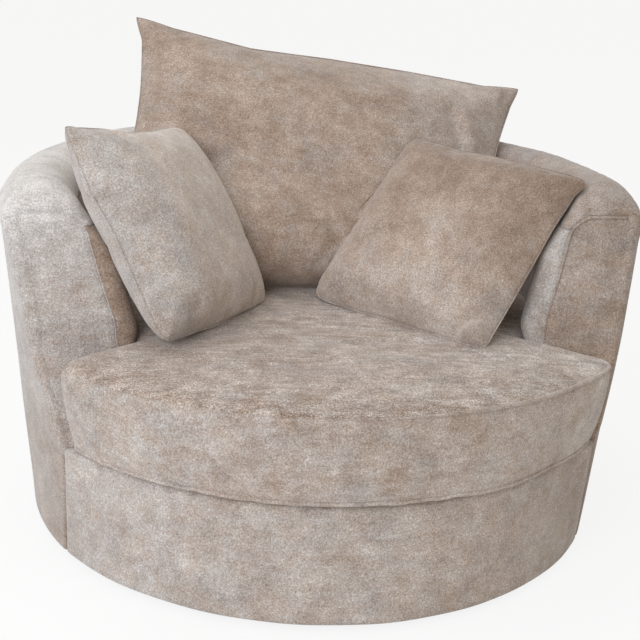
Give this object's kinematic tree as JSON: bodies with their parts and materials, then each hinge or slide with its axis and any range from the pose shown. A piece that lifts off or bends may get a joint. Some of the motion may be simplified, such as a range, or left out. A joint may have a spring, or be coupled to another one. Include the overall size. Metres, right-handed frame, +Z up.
{
  "type": "cuddle chair",
  "caption": "Round cuddle chair on a hidden swivel, with a padded barrel back, a deep loose seat cushion, a large back cushion and matching scatter cushions.",
  "frame": {"origin": "centre of the felt pad's underside, on the floor and on the swivel axis", "axes": "+Z up along the swivel axis, -Y towards the open front where the sitter faces, +X to the right as seen from the front"},
  "size_m": [1.24, 1.2091, 0.9252],
  "materials": {
    "chenille": "crushed chenille with a soft mottled pile",
    "foam": "open-cell upholstery foam",
    "wadding": "white fibre filling",
    "felt": "pressed grey felt",
    "black_cloth": "black lining cloth",
    "plywood": "raw birch plywood",
    "timber": "sawn softwood",
    "hardboard": "smooth brown hardboard",
    "bright_steel": "zinc-plated",
    "swivel_plate": "black oxide",
    "zip": "woven nylon zip"
  },
  "bodies": {
    "floor_base": {"felt_pad": "felt", "floor_disc": "plywood", "lower_swivel_plate": "swivel_plate", "centre_rivet": "bright_steel", "base_screw_1": "bright_steel", "base_screw_2": "bright_steel", "base_screw_3": "bright_steel", "base_screw_4": "bright_steel"},
    "ball_cage": {"ball_ring": "bright_steel"},
    "chair_body": {"upper_swivel_plate": "swivel_plate", "board_screw_1": "bright_steel", "board_screw_2": "bright_steel", "board_screw_3": "bright_steel", "board_screw_4": "bright_steel", "bottom_ring": "plywood", "swivel_board": "plywood", "deck_ring": "plywood", "rim_rail": "plywood", "lower_post_1": "timber", "lower_post_2": "timber", "lower_post_3": "timber", "lower_post_4": "timber", "lower_post_5": "timber", "lower_post_6": "timber", "upper_post_1": "timber", "upper_post_2": "timber", "upper_post_3": "timber", "upper_post_4": "timber", "seat_spring_1": "bright_steel", "seat_spring_2": "bright_steel", "seat_spring_3": "bright_steel", "seat_spring_4": "bright_steel", "seat_spring_5": "bright_steel", "deck_pad": "felt", "deck_cloth": "black_cloth", "dust_cover": "black_cloth", "outer_board": "hardboard", "front_board": "hardboard", "barrel_foam": "foam", "rim_foam": "foam", "outer_cover": "chenille", "inner_cover": "chenille", "left_facing_cover": "chenille", "left_facing_board": "plywood", "right_facing_cover": "chenille", "right_facing_board": "plywood", "front_border_cover": "chenille"},
    "seat_cushion": {"seat_cushion_cover": "chenille", "seat_cushion_zip": "zip", "seat_cushion_core": "foam"},
    "back_cushion": {"back_cushion_cover": "chenille", "back_cushion_pad": "wadding"},
    "left_scatter": {"left_scatter_cover": "chenille", "left_scatter_pad": "wadding"},
    "right_scatter": {"right_scatter_cover": "chenille", "right_scatter_pad": "wadding"}
  },
  "joints": [
    {"name": "swivel", "type": "hinge", "parent": "floor_base", "child": "chair_body", "pos_m": [0, 0, 0.0306], "axis": [0, 0, 1], "continuous": true},
    {"name": "ball_cage_turn", "type": "hinge", "parent": "floor_base", "child": "ball_cage", "pos_m": [0, 0, 0.0306], "axis": [0, 0, 1], "continuous": true},
    {"name": "seat_lift", "type": "slide", "parent": "chair_body", "child": "seat_cushion", "axis": [0, 0, 1], "range_m": [0, 0.5]},
    {"name": "back_lift", "type": "slide", "parent": "seat_cushion", "child": "back_cushion", "axis": [0, 0.35, 0.9367], "range_m": [0, 0.4]},
    {"name": "left_scatter_lift", "type": "slide", "parent": "back_cushion", "child": "left_scatter", "axis": [0, -0.6, 0.8], "range_m": [0, 0.35]},
    {"name": "right_scatter_lift", "type": "slide", "parent": "back_cushion", "child": "right_scatter", "axis": [0, -0.6, 0.8], "range_m": [0, 0.35]}
  ],
  "couplings": [
    {"joint": "ball_cage_turn", "follows": "swivel", "ratio": 0.5}
  ]
}
